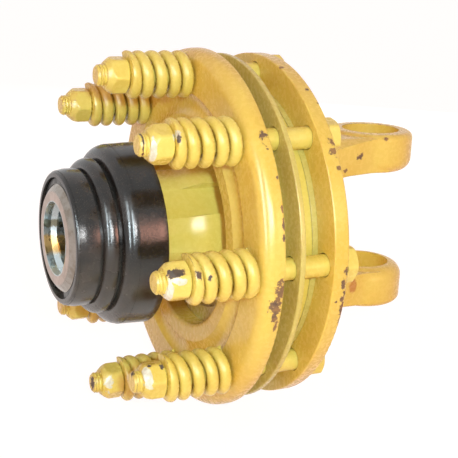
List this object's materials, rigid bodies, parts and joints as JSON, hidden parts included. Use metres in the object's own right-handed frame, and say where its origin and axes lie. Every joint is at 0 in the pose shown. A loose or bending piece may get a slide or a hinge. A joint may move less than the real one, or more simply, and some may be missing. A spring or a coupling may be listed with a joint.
{
  "type": "torque limiter",
  "caption": "Friction torque limiter for a drive shaft: splined hub with sliding lock collar, spring-clamped plates and linings, and a flange yoke for a universal joint.",
  "frame": {"origin": "on the shaft axis, where it meets the axis of the cross bores in the yoke's ears", "axes": "+X along the shaft from the hub's splined end towards the yoke, +Z along the cross bores, +Y across"},
  "size_m": [0.2265, 0.206, 0.206],
  "materials": {
    "yellow_paint": "glossy enamel over steel, chipped at the edges",
    "bare_steel": "turned, oiled",
    "black_paint": "satin black coating over steel",
    "friction_lining": "moulded friction material",
    "bronze": "plain bearing bronze"
  },
  "bodies": {
    "hub": {"splined_hub": "yellow_paint", "driver_disc": "yellow_paint", "lining_1": "friction_lining", "lining_2": "friction_lining", "lining_3": "friction_lining", "lining_4": "friction_lining", "snap_ring": "bare_steel", "collar_spring": "bare_steel"},
    "yoke": {"flange_yoke": "yellow_paint", "hub_bush": "bronze", "intermediate_plate": "yellow_paint", "spring_bolts": "yellow_paint", "spring_nuts": "yellow_paint", "spring_1": "yellow_paint", "spring_2": "yellow_paint", "spring_3": "yellow_paint", "spring_4": "yellow_paint", "spring_5": "yellow_paint", "spring_6": "yellow_paint", "spring_7": "yellow_paint", "spring_8": "yellow_paint"},
    "plate": {"pressure_plate": "yellow_paint"},
    "collar": {"lock_collar": "black_paint"},
    "ball_1": {"locking_ball_1": "bare_steel"},
    "ball_2": {"locking_ball_2": "bare_steel"},
    "ball_3": {"locking_ball_3": "bare_steel"}
  },
  "joints": [
    {"name": "yoke_slip", "type": "hinge", "parent": "hub", "child": "yoke", "pos_m": [0, 0, 0], "axis": [1, 0, 0], "continuous": true},
    {"name": "plate_lift", "type": "slide", "parent": "yoke", "child": "plate", "axis": [-1, 0, 0], "range_m": [0, 0.002], "stiffness_N_per_m": 20000, "springref_m": -0.02, "deforming": ["spring_1", "spring_2", "spring_3", "spring_4", "spring_5", "spring_6", "spring_7", "spring_8"]},
    {"name": "collar_slide", "type": "slide", "parent": "hub", "child": "collar", "axis": [1, 0, 0], "range_m": [0, 0.008], "stiffness_N_per_m": 3000, "springref_m": -0.012, "deforming": ["collar_spring"]},
    {"name": "ball_1_lift", "type": "slide", "parent": "hub", "child": "ball_1", "axis": [0, 0.342, -0.9397], "range_m": [0, 0.0025]},
    {"name": "ball_2_lift", "type": "slide", "parent": "hub", "child": "ball_2", "axis": [0, 0.6428, 0.766], "range_m": [0, 0.0025]},
    {"name": "ball_3_lift", "type": "slide", "parent": "hub", "child": "ball_3", "axis": [0, -0.9848, 0.1736], "range_m": [0, 0.0025]}
  ],
  "couplings": [
    {"joint": "ball_1_lift", "follows": "collar_slide", "ratio": 0.3125},
    {"joint": "ball_2_lift", "follows": "collar_slide", "ratio": 0.3125},
    {"joint": "ball_3_lift", "follows": "collar_slide", "ratio": 0.3125}
  ]
}
